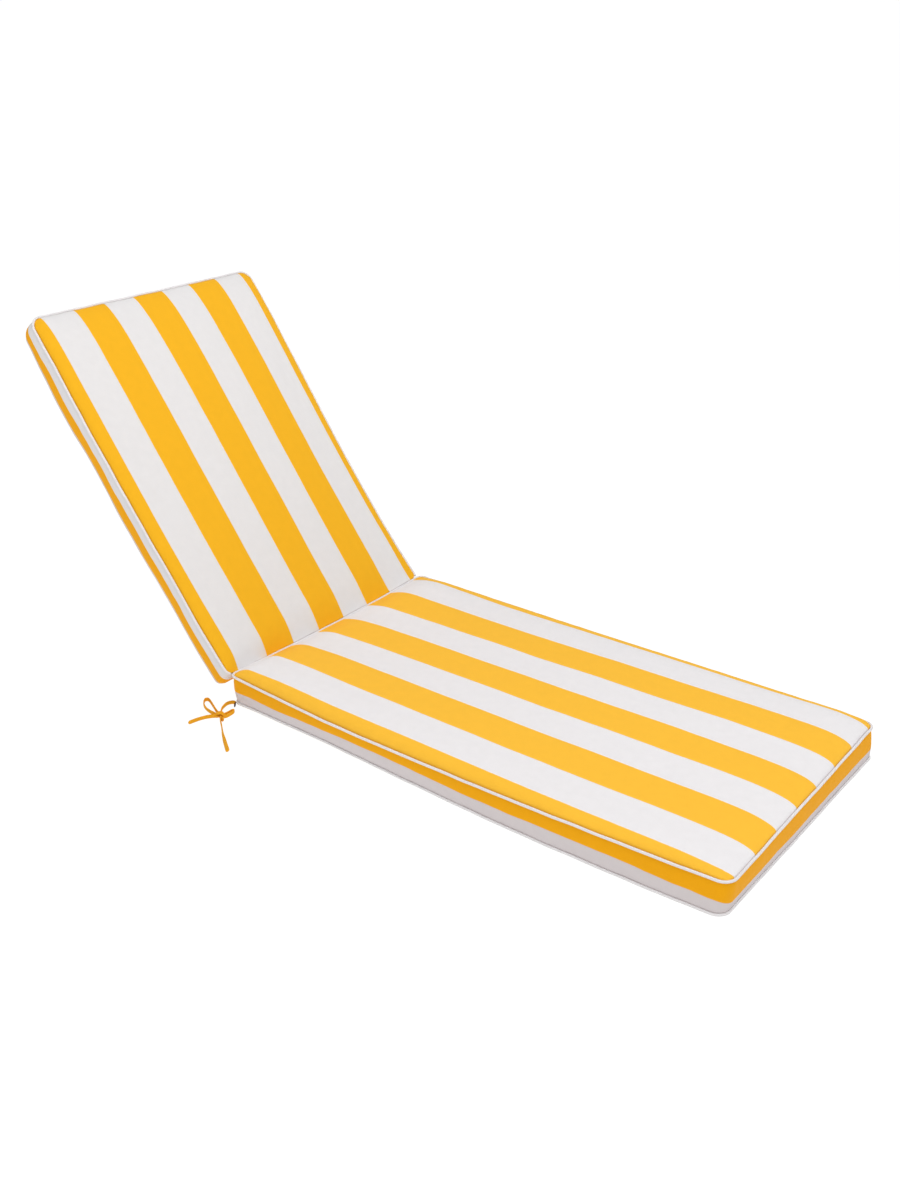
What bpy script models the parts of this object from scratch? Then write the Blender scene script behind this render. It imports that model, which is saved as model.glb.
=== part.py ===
"""Sun lounger cushion: a flat seat pad and a raised back pad that share one piped seam at the fold.

Each pad is a filled, crowned solid with a side band and piping round its seams. A tape tie is sewn
in at one rear corner of the seat and knotted in a bow. Metres, +Z up. The foot end is towards +X,
and the origin is the middle of the seat's underside.
"""
import math
from collections import namedtuple

import bmesh
import bpy
from mathutils import Matrix, Vector

# Overall sizes, between the piping's centres
WIDTH = 0.600
SEAT_LENGTH = 1.062
BACK_LENGTH = 0.797
BACK_ANGLE = math.radians(50.8)
SEAM_HEIGHT = 0.0674

# Piping and side bands
PIPING_RADIUS = 0.00275
PIPING_SIDES_RESOLUTION = 2
BAND_THICKNESS = 0.0015
BAND_INSET = 0.00195
BAND_EDGE_DROP = 0.0033

# Filled pads
PAD_INSET = 0.0035
PAD_RIM_RISE = 0.0004
CROWN_COLUMN = 0.2
CROWN_COLUMN_LIMIT = 1.2
NEAR_CROWN_REACH = 0.04
FAR_CROWN_REACH = 0.075
END_CROWN_REACH = 0.12
FOLD_CROWN_NEAR_REACH = 0.04
FOLD_CROWN_FAR_REACH = 0.09
FOLD_SAG = 0.0065
FOLD_SAG_REACH = 0.06
REAR_CROWN_SHARE = 0.62
UNDERSIDE_REACH = 0.05
EDGE_CUTS = (0.0, 0.004, 0.011, 0.0185, 0.028, 0.05, 0.08, 0.12)
PANEL_STEP = 0.11

# Tie
TAPE_WIDTH = 0.008
TAPE_THICKNESS = 0.0012
TAPE_STEP = 0.006
FLOOR_GAP = 0.0004
KNOT_SIZE = (0.014, 0.011, 0.0095)

Section = namedtuple(
    "Section",
    "share near_dip far_dip dip near_bow far_bow near_splay far_splay lift near mid far",
)
BandRow = namedtuple("BandRow", "level out core")
Pad = namedtuple(
    "Pad",
    "name length direction depth fold_radius end_radius fold_tuck end_skew end_turn rests colour"
    " sections profile",
)

# In millimetres, but for share, which is how far along from the fold the row lies.
# The near side is the tie's, the far side the other one.
# near_dip, far_dip: how far the side seams hang under the corners.
# dip: how far the whole pad bends away.
# near_bow, far_bow: how far the upper seam bows outwards.
# near_splay, far_splay: how much more the lower seam does so.
# lift: how far the lower seam stands up from its lowest level.
# near, mid, far: the crown's height over the upper seam, 0.2 m to each side and in the middle.
SEAT_SECTIONS = (
    Section(0.00, 0.0, 0.0, 0.0, 0.0, 0.0, -4.0, -1.0, 4.0, 15.5, 5.5, 14.5),
    Section(0.12, 4.5, 2.5, 0.0, 4.5, 4.5, -8.5, -1.0, 4.0, 22.0, 11.0, 13.5),
    Section(0.25, 8.5, 4.5, 0.0, 7.5, 7.5, -10.0, -1.0, 3.0, 21.5, 13.5, 13.5),
    Section(0.40, 8.5, 8.0, 0.0, 9.0, 9.5, -6.5, -1.0, 1.0, 21.0, 15.0, 17.0),
    Section(0.60, 7.2, 9.5, 0.0, 9.0, 9.5, 0.0, -1.0, 0.0, 19.5, 17.5, 21.5),
    Section(0.75, 3.3, 8.5, 0.0, 9.0, 9.0, 0.0, 0.0, 0.0, 18.0, 20.0, 22.5),
    Section(0.88, 1.5, 7.0, 0.0, 5.5, 5.5, 1.0, 2.0, 0.0, 19.0, 20.5, 24.0),
    Section(1.00, 0.0, 0.0, 0.0, 0.0, 0.5, 0.5, 2.5, 0.0, 18.0, 19.0, 22.5),
)
BACK_SECTIONS = (
    Section(0.00, 0.0, 0.0, 0.0, 4.0, -12.5, -7.0, -1.0, 1.0, 10.0, 7.0, -1.0),
    Section(0.10, 0.0, 0.0, 6.5, 3.3, -12.5, -7.0, -1.0, 1.0, 15.5, 12.0, 6.5),
    Section(0.25, 0.0, 0.0, 9.0, 1.4, -12.5, -7.5, -1.0, 1.0, 17.5, 18.5, 9.5),
    Section(0.45, 0.0, 0.0, 8.0, 2.3, -10.7, -4.9, -0.2, 1.0, 18.7, 21.7, 12.2),
    Section(0.64, 0.0, 0.0, 5.0, 2.9, -6.5, -7.0, 0.0, 2.0, 19.6, 23.5, 15.2),
    Section(0.76, 0.0, 0.0, 2.8, 2.8, -3.3, -2.0, 0.0, 3.2, 20.0, 24.0, 17.2),
    Section(0.90, 0.0, 0.0, 0.5, 0.5, -1.0, -1.7, 0.0, 7.5, 19.5, 20.0, 18.5),
    Section(1.00, 0.0, 0.0, 0.0, 0.0, 0.0, -4.5, 0.0, 11.0, 19.5, 16.5, 18.5),
)

# How far the side band and the filled core under it stand out, in millimetres, at each level
# from 0, the lower seam, to 1, the upper one.
SEAT_PROFILE = (
    BandRow(0.00, 0.0, 0.0),
    BandRow(0.12, 1.4, 1.4),
    BandRow(0.32, 2.6, 2.6),
    BandRow(0.56, 3.0, 3.0),
    BandRow(0.80, 2.0, 2.0),
    BandRow(1.00, 0.0, 0.0),
)
BACK_PROFILE = (
    BandRow(0.00, -5.5, -7.5),
    BandRow(0.11, 0.5, -1.0),
    BandRow(0.26, 3.5, 3.0),
    BandRow(0.50, 4.0, 4.0),
    BandRow(0.77, 2.8, 2.8),
    BandRow(1.00, 0.0, 0.0),
)

SEAT = Pad(
    name="seat",
    length=SEAT_LENGTH,
    direction=1,
    depth=SEAM_HEIGHT - PIPING_RADIUS - FLOOR_GAP,
    fold_radius=0.015,
    end_radius=0.022,
    fold_tuck=0.003,
    end_skew=0.0045,
    end_turn=0.0,
    rests=True,
    colour=(0.97, 0.55, 0.05, 1.0),
    sections=SEAT_SECTIONS,
    profile=SEAT_PROFILE,
)
BACK = Pad(
    name="back",
    length=BACK_LENGTH,
    direction=-1,
    depth=0.059,
    fold_radius=0.014,
    end_radius=0.024,
    fold_tuck=-0.007,
    end_skew=0.0,
    end_turn=0.002,
    rests=False,
    colour=(0.93, 0.48, 0.03, 1.0),
    sections=BACK_SECTIONS,
    profile=BACK_PROFILE,
)

# The tape's routes on the floor, chosen by hand: x, y and how far the tape is laid over,
# from 0 on its edge to 1 flat.
STRAP_ROUTE = (
    (-0.5266, -0.2928, 0.0),
    (-0.5315, -0.2950, 0.0),
    (-0.5360, -0.3000, 0.0),
    (-0.5374, -0.3075, 0.0),
    (-0.5346, -0.3189, 0.0),
    (-0.5292, -0.3294, 0.0),
    (-0.5165, -0.3450, 0.0),
)
OPEN_LOOP_ROUTE = (
    (-0.5160, -0.3455, 0.0),
    (-0.5323, -0.3397, 0.0),
    (-0.5498, -0.3308, 0.0),
    (-0.5681, -0.3215, 0.0),
    (-0.5780, -0.3180, 0.0),
    (-0.5820, -0.3222, 0.0),
    (-0.5775, -0.3300, 0.0),
    (-0.5690, -0.3381, 0.0),
    (-0.5567, -0.3447, 0.0),
    (-0.5422, -0.3485, 0.0),
    (-0.5160, -0.3500, 0.0),
)
FOLDED_LOOP_ROUTE = (
    (-0.5110, -0.3500, 0.0),
    (-0.5045, -0.3422, 0.0),
    (-0.5037, -0.3307, 0.0),
    (-0.5048, -0.3215, 0.0),
    (-0.5072, -0.3180, 0.0),
    (-0.5096, -0.3205, 0.0),
    (-0.5098, -0.3300, 0.0),
    (-0.5110, -0.3400, 0.0),
    (-0.5140, -0.3475, 0.0),
)
SIDE_TAIL_ROUTE = (
    (-0.5150, -0.3495, 0.0),
    (-0.5245, -0.3575, 0.0),
    (-0.5318, -0.3679, 0.0),
    (-0.5372, -0.3808, 0.0),
    (-0.5404, -0.3935, 0.0),
    (-0.5423, -0.4042, 0.0),
)
FRONT_TAIL_ROUTE = (
    (-0.5120, -0.3500, 0.0),
    (-0.4993, -0.3614, 0.0),
    (-0.4832, -0.3741, 0.0),
    (-0.4616, -0.3924, 0.2),
    (-0.4366, -0.4108, 0.5),
    (-0.4116, -0.4284, 0.7),
)
KNOT_PLACE = Vector((-0.5135, -0.3487, KNOT_SIZE[2] / 2 + FLOOR_GAP))


def clear_scene():
    """Removes whatever the scene holds."""
    for item in list(bpy.data.objects):
        bpy.data.objects.remove(item, do_unlink=True)


def cloth_material(name, colour):
    """Returns a plain matt cloth material."""
    material = bpy.data.materials.new(name)
    material.use_nodes = True
    shader = material.node_tree.nodes["Principled BSDF"]
    shader.inputs["Base Color"].default_value = colour
    shader.inputs["Roughness"].default_value = 0.85
    shader.inputs["Metallic"].default_value = 0.0
    return material


def add_object(collection, name, data, material, parent):
    """Adds an object to the part's collection and hangs it on its parent."""
    item = bpy.data.objects.new(name, data)
    item.data.materials.append(material)
    item.parent = parent
    collection.objects.link(item)
    return item


def section_at(pad, share):
    """Returns the pad's section values in metres, smoothly between the table's rows."""
    rows = pad.sections
    share = min(max(share, 0.0), 1.0)
    index = 0
    while index < len(rows) - 2 and share > rows[index + 1].share:
        index += 1
    lower = rows[index]
    upper = rows[index + 1]
    step = (share - lower.share) / (upper.share - lower.share)
    ease = step * step * (3.0 - 2.0 * step)
    blend = 0.5 * (step + ease)
    return Section(*(0.001 * (a + (b - a) * blend) for a, b in zip(lower, upper)))


def top_seam(pad, along, across):
    """Returns the height of the upper seam's plane under or over the fold axis."""
    section = section_at(pad, along / pad.length)
    reach = min(abs(across) / (WIDTH / 2), 1.0)
    side_dip = section.near_dip if across < 0.0 else section.far_dip
    return -section.dip - side_dip * reach ** 2 - fold_sag(pad, along, across)[1]


def fold_sag(pad, along, across):
    """Returns how far the shared seam sinks between its corners, as parts along and down."""
    fade = (1.0 - min(max(along / FOLD_SAG_REACH, 0.0), 1.0)) ** 2
    sag = FOLD_SAG * fade * (1.0 - min(abs(across) / (WIDTH / 2), 1.0) ** 2)
    if pad.direction > 0:
        return 0.0, sag
    return -sag * math.sin(BACK_ANGLE), sag * math.cos(BACK_ANGLE)


def lower_seam(pad, along):
    """Returns the height of the lower seam's plane."""
    section = section_at(pad, along / pad.length)
    return -pad.depth - section.dip + section.lift


def rounded(pad, along, across, inset):
    """Moves a point of the pad's rectangle so that its corners become arcs.

    Returns the point and the direction that leads out of the pad there.
    """
    half = WIDTH / 2 - inset
    side = math.copysign(1.0, across)
    fold_radius = pad.fold_radius - inset
    end_radius = pad.end_radius - inset
    if along < inset + fold_radius:
        centre_along = inset + fold_radius
        radius = fold_radius
    elif along > pad.length - inset - end_radius:
        centre_along = pad.length - inset - end_radius
        radius = end_radius
    else:
        return along, across, (0.0, side)
    centre_across = half - radius
    step_along = (along - centre_along) / radius
    step_across = (abs(across) - centre_across) / radius
    if step_across <= 0.0:
        return along, across, (math.copysign(1.0, step_along), 0.0)
    reach = math.hypot(step_along, step_across)
    shrink = max(abs(step_along), step_across) / reach
    new_along = centre_along + step_along * radius * shrink
    new_across = side * (centre_across + step_across * radius * shrink)
    return new_along, new_across, (step_along / reach, side * step_across / reach)


def plan_point(pad, along, across, inset, level, push):
    """Returns a point in plan at a level from 0, the lower seam, to 1, the upper one."""
    along, across, outward = rounded(pad, along, across, inset)
    section = section_at(pad, along / pad.length)
    if across < 0.0:
        bow = section.near_bow + section.near_splay * (1.0 - level)
    else:
        bow = section.far_bow + section.far_splay * (1.0 - level)
    share = along / pad.length
    skew = pad.end_skew * share * across / (WIDTH / 2)
    turn = pad.end_turn * share * across / (WIDTH / 2)
    sunk = fold_sag(pad, along, across)[0]
    along += (pad.fold_tuck * (1.0 - share) + skew) * (1.0 - level) + turn + sunk * level
    across *= 1.0 + bow / (WIDTH / 2)
    return along + outward[0] * push, across + outward[1] * push


def free_rise(distance, reach):
    """Returns the share of the crown at a distance inside a free edge: steep, then level."""
    return math.sqrt(1.0 - (1.0 - min(distance / reach, 1.0)) ** 3)


def soft_rise(distance, reach):
    """Returns the share of the crown at a distance inside the fold: a gentle slope."""
    return 1.0 - (1.0 - min(distance / reach, 1.0)) ** 2


def crown(pad, along, across):
    """Returns how far the upper panel stands over its seam."""
    section = section_at(pad, along / pad.length)
    column = min(max(across / CROWN_COLUMN, -CROWN_COLUMN_LIMIT), CROWN_COLUMN_LIMIT)
    height = 0.5 * column * (column - 1.0) * section.near
    height += (1.0 - column ** 2) * section.mid
    height += 0.5 * column * (column + 1.0) * section.far
    far_share = 0.5 + across / WIDTH
    fold_reach = FOLD_CROWN_NEAR_REACH
    fold_reach += (FOLD_CROWN_FAR_REACH - FOLD_CROWN_NEAR_REACH) * far_share
    ends = soft_rise(max(along - PAD_INSET, 0.0), fold_reach)
    ends *= free_rise(max(pad.length - PAD_INSET - along, 0.0), END_CROWN_REACH)
    from_side = max(WIDTH / 2 - PAD_INSET - abs(across), 0.0)
    return height * ends * free_rise(from_side, NEAR_CROWN_REACH if across < 0.0 else FAR_CROWN_REACH)


def underside(pad, along, across):
    """Returns how far the lower panel stands out under its seam."""
    from_edge = min(along, pad.length - along, WIDTH / 2 - abs(across)) - PAD_INSET
    if pad.rests:
        drop = SEAM_HEIGHT + lower_seam(pad, along)
        return drop * soft_rise(max(from_edge, 0.0), UNDERSIDE_REACH)
    return REAR_CROWN_SHARE * crown(pad, along, across)


def cut_positions(size, inset):
    """Returns where a panel is cut along one side: close by the seams, wide apart inside."""
    near = [inset + cut for cut in EDGE_CUTS]
    inner = size - 2.0 * near[-1]
    count = max(round(inner / PANEL_STEP), 1)
    middle = [near[-1] + inner * step / count for step in range(1, count)]
    far = [size - place for place in reversed(near)]
    return near + middle + far


def pad_height(pad, along, across, row, rows):
    """Returns the height of a pad's side at one of its rows, counted from the lower rim."""
    top = top_seam(pad, along, across)
    low = lower_seam(pad, along)
    if row == 0:
        return low - PAD_RIM_RISE
    if row == rows:
        return top + PAD_RIM_RISE
    share = pad.profile[row - 1].level
    return low + BAND_EDGE_DROP + (top - low - 2.0 * BAND_EDGE_DROP) * share


def pad_mesh(pad):
    """Shapes a cut-up box into the filled pad: crowned panels and sides drawn in at the seams."""
    rows = len(pad.profile) + 1
    body = bmesh.new()
    bmesh.ops.create_cube(body, size=1.0)
    size = Vector((pad.length - 2 * PAD_INSET, WIDTH - 2 * PAD_INSET, rows))
    start = Vector((PAD_INSET, -WIDTH / 2 + PAD_INSET, 0.0))
    for vertex in body.verts:
        vertex.co = start + Vector(size[i] * (vertex.co[i] + 0.5) for i in range(3))
    planes = [((1, 0, 0), place) for place in cut_positions(pad.length, PAD_INSET)[1:-1]]
    planes += [((0, 1, 0), place - WIDTH / 2) for place in cut_positions(WIDTH, PAD_INSET)[1:-1]]
    planes += [((0, 0, 1), row) for row in range(1, rows)]
    for normal, place in planes:
        everything = body.verts[:] + body.edges[:] + body.faces[:]
        bmesh.ops.bisect_plane(
            body, geom=everything, dist=1e-6, plane_co=Vector(normal) * place, plane_no=normal
        )
    for vertex in body.verts:
        vertex.co = pad_point(pad, vertex.co, rows)
    if pad.direction < 0:
        bmesh.ops.reverse_faces(body, faces=body.faces[:])
    mesh = bpy.data.meshes.new(pad.name + "_cushion")
    body.to_mesh(mesh)
    body.free()
    return mesh


def pad_point(pad, place, rows):
    """Returns where one point of the cut-up box lies on the finished pad."""
    along, across, row = place.x, place.y, round(place.z)
    half = WIDTH / 2 - PAD_INSET
    on_edge = (
        abs(across) > half - 1e-5
        or along < PAD_INSET + 1e-5
        or along > pad.length - PAD_INSET - 1e-5
    )
    height = pad_height(pad, along, across, row, rows)
    if not on_edge and row == rows:
        height += crown(pad, along, across)
    elif not on_edge and row == 0:
        height = lower_seam(pad, along) - underside(pad, along, across)
    side = pad.profile[min(max(row - 1, 0), rows - 2)]
    along, across = plan_point(pad, along, across, PAD_INSET, side.level, 0.001 * side.core)
    return Vector((pad.direction * along, across, height))


def edge_loop(pad, inset):
    """Returns the pad's rectangle as points in order: near side, end, far side, fold."""
    along = cut_positions(pad.length, PAD_INSET)
    across = [place - WIDTH / 2 for place in cut_positions(WIDTH, PAD_INSET)]
    along[0], along[-1] = inset, pad.length - inset
    across[0], across[-1] = -WIDTH / 2 + inset, WIDTH / 2 - inset
    loop = [(place, across[0]) for place in along[:-1]]
    loop += [(along[-1], place) for place in across[:-1]]
    loop += [(place, across[-1]) for place in reversed(along[1:])]
    loop += [(along[0], place) for place in reversed(across[1:])]
    return loop


def band_mesh(pad):
    """Lofts the side band as an open surface round the pad, between its two seams."""
    band = bmesh.new()
    rings = []
    for side in pad.profile:
        ring = []
        for along, across in edge_loop(pad, BAND_INSET):
            low = lower_seam(pad, along) + BAND_EDGE_DROP
            top = top_seam(pad, along, across) - BAND_EDGE_DROP
            x, y = plan_point(pad, along, across, BAND_INSET, side.level, 0.001 * side.out)
            ring.append(band.verts.new((pad.direction * x, y, low + (top - low) * side.level)))
        rings.append(ring)
    for lower, upper in zip(rings, rings[1:]):
        for index in range(len(lower)):
            after = (index + 1) % len(lower)
            band.faces.new((lower[index], lower[after], upper[after], upper[index]))
    if pad.direction < 0:
        bmesh.ops.reverse_faces(band, faces=band.faces[:])
    mesh = bpy.data.meshes.new(pad.name + "_side_band")
    band.to_mesh(mesh)
    band.free()
    return mesh


def thicken_band(item):
    """Gives the band its cloth's thickness, half to each side."""
    solid = item.modifiers.new("cloth", "SOLIDIFY")
    solid.thickness = BAND_THICKNESS
    solid.offset = 0.0
    solid.use_even_offset = True


def piping_curve(name, points, closed):
    """Returns a round cord along the given points."""
    curve = bpy.data.curves.new(name, "CURVE")
    curve.dimensions = "3D"
    curve.bevel_depth = PIPING_RADIUS
    curve.bevel_resolution = PIPING_SIDES_RESOLUTION
    curve.use_fill_caps = True
    spline = curve.splines.new("POLY")
    spline.points.add(len(points) - 1)
    for point, place in zip(spline.points, points):
        point.co = (*place, 1.0)
    spline.use_cyclic_u = closed
    return curve


def seam_points(pad, upper):
    """Returns the points of one whole seam, in the fold's frame."""
    side = pad.profile[-1] if upper else pad.profile[0]
    points = []
    for along, across in edge_loop(pad, 0.0):
        height = top_seam(pad, along, across) if upper else lower_seam(pad, along)
        x, y = plan_point(pad, along, across, 0.0, side.level, 0.001 * side.out)
        points.append(Vector((pad.direction * x, y, height)))
    return points


def pairs(points):
    """Returns each point with the next one round a closed loop."""
    return zip(points, points[1:] + points[:1])


def nearby(point, start, end):
    """Returns the point of a straight piece that is nearest to another point."""
    run = end - start
    share = (point - start).dot(run) / run.length_squared
    return start + run * min(max(share, 0.0), 1.0)


def back_front_points():
    """Returns the back's front seam, open at the fold, where the seat's piping takes over."""
    reach = 2.0 * PIPING_RADIUS + FLOOR_GAP
    turn = Matrix.Rotation(BACK_ANGLE, 3, "Y")
    shared = seam_points(SEAT, True)
    points = []
    for point in seam_points(BACK, True):
        gaps = [(turn @ point - nearby(turn @ point, a, b)).length for a, b in pairs(shared)]
        if min(gaps) > reach:
            points.append(point)
    start = max(range(len(points)), key=lambda i: (points[i] - points[i - 1]).length)
    return points[start:] + points[:start]


def smooth_route(route):
    """Returns evenly spaced places on a smooth curve through a route's points."""
    rows = [Vector(row) for row in route]
    rows = [2 * rows[0] - rows[1]] + rows + [2 * rows[-1] - rows[-2]]
    places = []
    for index in range(1, len(rows) - 2):
        before, here, there, after = rows[index - 1:index + 3]
        count = max(round((there - here).xy.length / TAPE_STEP), 1)
        for step in range(count):
            t = step / count
            places.append(
                0.5 * (
                    2 * here
                    + (there - before) * t
                    + (2 * before - 5 * here + 4 * there - after) * t ** 2
                    + (3 * here - before - 3 * there + after) * t ** 3
                )
            )
    places.append(rows[-2])
    return places


def tape_body(route):
    """Sweeps the tape's flat section along a route on the floor."""
    places = smooth_route(route)
    tape = bmesh.new()
    rings = []
    for index, place in enumerate(places):
        ahead = places[min(index + 1, len(places) - 1)]
        behind = places[max(index - 1, 0)]
        run = (ahead - behind).xy.normalized()
        lean = place.z * math.pi / 2
        side = Vector((-run.y * math.sin(lean), run.x * math.sin(lean), math.cos(lean)))
        face = Vector((run.x, run.y, 0.0)).cross(side)
        rise = 0.5 * (TAPE_WIDTH * math.cos(lean) + TAPE_THICKNESS * math.sin(lean)) + FLOOR_GAP
        centre = Vector((place.x, place.y, rise))
        ring = []
        for across, through in ((-0.5, -0.5), (0.5, -0.5), (0.5, 0.5), (-0.5, 0.5)):
            offset = side * (across * TAPE_WIDTH) + face * (through * TAPE_THICKNESS)
            ring.append(tape.verts.new(centre + offset))
        rings.append(ring)
    for near, far in zip(rings, rings[1:]):
        for index in range(4):
            after = (index + 1) % 4
            tape.faces.new((near[index], near[after], far[after], far[index]))
    tape.faces.new(list(reversed(rings[0])))
    tape.faces.new(rings[-1])
    bmesh.ops.recalc_face_normals(tape, faces=tape.faces[:])
    return tape


def knot_body():
    """Returns the tight knot as a flattened ball round which the tapes cross."""
    knot = bmesh.new()
    bmesh.ops.create_uvsphere(knot, u_segments=12, v_segments=8, radius=0.5)
    for vertex in knot.verts:
        scaled = Vector(vertex.co[i] * KNOT_SIZE[i] for i in range(3))
        vertex.co = KNOT_PLACE + scaled
    return knot


def build_tie(collection, material):
    """Joins the strap, the two loops and the two free ends at the knot."""
    routes = {
        "tie": STRAP_ROUTE,
        "open_loop": OPEN_LOOP_ROUTE,
        "folded_loop": FOLDED_LOOP_ROUTE,
        "side_tail": SIDE_TAIL_ROUTE,
        "front_tail": FRONT_TAIL_ROUTE,
    }
    bodies = {name: tape_body(route) for name, route in routes.items()}
    bodies["knot"] = knot_body()
    helpers = bpy.data.collections.new("tie helpers")
    bpy.context.scene.collection.children.link(helpers)
    strap = None
    for name, body in bodies.items():
        mesh = bpy.data.meshes.new(name)
        body.to_mesh(mesh)
        body.free()
        if name == "tie":
            strap = add_object(collection, name, mesh, material, None)
            continue
        helper = add_object(helpers, name, mesh, material, None)
        helper.hide_render = True
        helper.display_type = "WIRE"
        join = strap.modifiers.new(name, "BOOLEAN")
        join.operation = "UNION"
        join.solver = "EXACT"
        join.object = helper
    return strap


def build_pad(collection, pad, parent, piping):
    """Builds one pad: the filled cushion, its side band and its lower piping."""
    cloth = cloth_material(pad.name + " cloth", pad.colour)
    add_object(collection, pad.name + "_cushion", pad_mesh(pad), cloth, parent)
    band = add_object(collection, pad.name + "_side_band", band_mesh(pad), cloth, parent)
    thicken_band(band)
    lower_name = "seat_bottom_piping" if pad.rests else "back_rear_piping"
    curve = piping_curve(lower_name, seam_points(pad, False), True)
    add_object(collection, lower_name, curve, piping, parent)


def build():
    """Builds the whole cushion."""
    clear_scene()
    collection = bpy.data.collections.new("sun lounger cushion")
    bpy.context.scene.collection.children.link(collection)
    piping = cloth_material("white piping", (0.86, 0.84, 0.84, 1.0))
    tape = cloth_material("tie tape", (0.80, 0.38, 0.03, 1.0))
    seat_frame = bpy.data.objects.new("fold", None)
    back_frame = bpy.data.objects.new("raised back", None)
    for frame in (seat_frame, back_frame):
        collection.objects.link(frame)
    seat_frame.location = (-SEAT_LENGTH / 2, 0.0, SEAM_HEIGHT)
    back_frame.parent = seat_frame
    back_frame.rotation_euler = (0.0, BACK_ANGLE, 0.0)
    build_pad(collection, SEAT, seat_frame, piping)
    build_pad(collection, BACK, back_frame, piping)
    seat_top = piping_curve("seat_top_piping", seam_points(SEAT, True), True)
    add_object(collection, "seat_top_piping", seat_top, piping, seat_frame)
    back_front = piping_curve("back_front_piping", back_front_points(), False)
    add_object(collection, "back_front_piping", back_front, piping, back_frame)
    build_tie(collection, tape)


build()
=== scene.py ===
"""Sun lounger cushion: striped canvas pads, their side bands, white piping and a knotted tape tie.

The flat seat pad and the raised back pad share one piped seam at the fold. Metres, +Z up. The foot
end is towards +X, and the origin is the middle of the seat's underside.
"""

import math
from collections import namedtuple

import bpy
from bpy.props import FloatProperty, FloatVectorProperty, PointerProperty
from bpy.types import Operator, Panel, PropertyGroup
from mathutils import Matrix, Vector, noise


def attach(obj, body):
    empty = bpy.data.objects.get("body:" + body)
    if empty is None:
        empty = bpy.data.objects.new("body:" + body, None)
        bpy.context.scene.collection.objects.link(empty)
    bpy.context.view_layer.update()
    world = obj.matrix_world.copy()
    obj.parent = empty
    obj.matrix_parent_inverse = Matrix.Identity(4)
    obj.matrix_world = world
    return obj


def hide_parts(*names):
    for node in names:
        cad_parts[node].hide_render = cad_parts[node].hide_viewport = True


bl_info = {
    "name": "Sun Lounger Cushion",
    "version": (1, 0, 0),
    "blender": (4, 5, 0),
    "location": "View3D > Sidebar > Lounger",
    "description": "Builds a striped sun lounger cushion with piped seams and a tape tie",
    "category": "Add Mesh",
}

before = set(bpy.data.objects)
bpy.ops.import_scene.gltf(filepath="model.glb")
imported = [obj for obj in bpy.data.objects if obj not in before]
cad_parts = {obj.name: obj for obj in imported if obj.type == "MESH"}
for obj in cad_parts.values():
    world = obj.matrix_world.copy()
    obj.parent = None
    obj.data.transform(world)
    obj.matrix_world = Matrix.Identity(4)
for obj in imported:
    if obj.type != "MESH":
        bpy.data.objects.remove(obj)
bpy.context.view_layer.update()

# Overall sizes, between the piping's centres
WIDTH = 0.600
SEAT_LENGTH = 1.062
BACK_LENGTH = 0.797
BACK_ANGLE = math.radians(50.8)
SEAM_HEIGHT = 0.0674
FLOOR_GAP = 0.0004

# Seams: how far each layer of cloth starts from the piping's centre
PIPING_RADIUS = 0.00275
CORD_RADIUS = 0.00245
RIM_INSET = 0.0021
RIM_RISE = 0.0003
CORE_INSET = 0.0035
CORE_DROP = 0.0033
BAND_INSET = 0.00195
BAND_DROP = 0.0016
BAND_THICKNESS = 0.0014

# Crown of the panels
CROWN_COLUMN = 0.2
CROWN_COLUMN_LIMIT = 1.2
NEAR_CROWN_REACH = 0.04
FAR_CROWN_REACH = 0.075
END_CROWN_REACH = 0.12
FOLD_CROWN_NEAR_REACH = 0.04
FOLD_CROWN_FAR_REACH = 0.09
FOLD_SAG = 0.0065
FOLD_SAG_REACH = 0.06
DRAW_START = 0.215
DRAW_FULL = 0.28
SEAM_WAVE = 0.0009
SEAM_WAVE_PITCH = 0.045
SPLIT_WAVE = 0.0009
REAR_CROWN_SHARE = 0.62
UNDERSIDE_REACH = 0.05

# Small unevenness of the cloth
BILLOW_REACH = 0.05
BILLOW_PITCH = Vector((0.13, 0.10))
SMALL_BILLOW_PITCH = Vector((0.045, 0.05))
GATHER_PITCH = 0.021
FINE_GATHER_PITCH = 0.009
GATHER_REACH = 0.011
GATHER_START = 0.004

# Cloth: shine, colour variation, weave and the painted shade by the distance inside the seams
SPECULAR = 0.12
SHEEN = 0.05
SHEEN_ROUGHNESS = 0.45
MOTTLE_SCALE = 55.0
MOTTLE_LOW = 0.965
MOTTLE_HIGH = 1.03
THREAD = 0.0006
SLUB_SCALE = 900.0
WEAVE_DEPTH = 0.00008
STRIPE_DRIFT = 0.0008
STRIPE_BLUR = 0.0007
SPLIT_BLUR = 0.0006
# Painted shade: the cloth's colour is darkened towards each seam, where the valley lies in shade
SEAM_SHADE_START = 0.0014
SEAM_SHADE_END = 0.0036
SEAM_SHADE = (0.74, 0.62, 0.58, 1.0)

# The yellow stripe nearest the middle: where it starts, across the pad, and how wide it is
SEAT_STRIPE = (-0.0490, 0.0800)
BACK_STRIPE = (-0.0410, 0.0780)

# Mesh steps
PANEL_FINE_STEP = 0.0012
PANEL_GROWTH = 1.28
BAND_ROWS = 18
BAND_STEP = 0.005
PIPING_STEP = 0.0026
PIPING_SIDES = 14
SECTION_STEPS = 500

# Tie
TAPE_WIDTH = 0.008
TAPE_THICKNESS = 0.0024
TAPE_STEP = 0.0015
TAPE_SIDES = 12
KNOT_PLACE = Vector((-0.5140, -0.3480, 0.0072))
KNOT_AXIS = Vector((0.5, -0.8, 0.1)).normalized()
KNOT_RADII = (0.0062, 0.0036, 0.0040)
KNOT_SPREAD = 0.0030
KNOT_TURNS = 1.3
KNOT_STEPS = 60
KNOT_THICKNESS = 0.0042

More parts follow.
